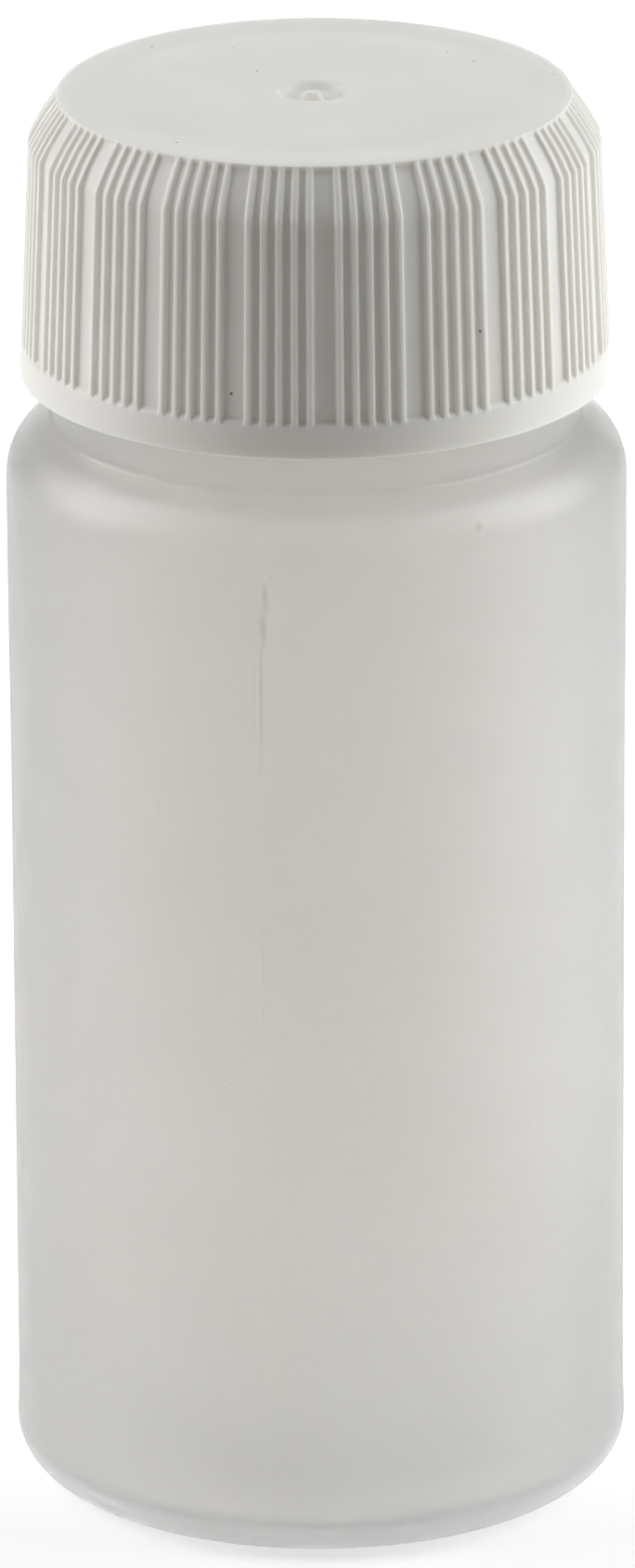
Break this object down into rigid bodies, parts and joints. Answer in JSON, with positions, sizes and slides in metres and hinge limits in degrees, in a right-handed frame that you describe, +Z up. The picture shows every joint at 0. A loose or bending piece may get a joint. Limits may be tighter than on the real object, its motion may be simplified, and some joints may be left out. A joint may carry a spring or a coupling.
{
  "type": "reagent bottle",
  "caption": "Small wide-mouth translucent plastic reagent bottle with a rounded shoulder and a white ribbed screw cap that unscrews and lifts clear.",
  "frame": {"origin": "centre of the base, on the plane that the bottle stands on", "axes": "+Z up along the bottle's axis; the front, with the mould parting line just left of it, faces -Y"},
  "size_m": [0.037, 0.037, 0.0865],
  "materials": {
    "bottle": "milky translucent natural polyethylene, blow-moulded, satin",
    "liner": "soft white foamed polyethylene disc",
    "cap": "opaque off-white injection-moulded polypropylene, fine satin"
  },
  "bodies": {
    "bottle": {"bottle": "bottle"},
    "liner": {"sealing_liner": "liner"},
    "cap": {"screw_cap": "cap"}
  },
  "joints": [
    {"name": "cap_lift", "type": "slide", "parent": "bottle", "child": "liner", "axis": [0, 0, 1], "range_m": [0, 0.018]},
    {"name": "cap_turn", "type": "hinge", "parent": "liner", "child": "cap", "pos_m": [0, 0, 0.0769], "axis": [0, 0, 1], "range_deg": [0, 1620]}
  ],
  "couplings": [
    {"joint": "cap_lift", "follows": "cap_turn", "m_per_rad": 0.00063662}
  ]
}
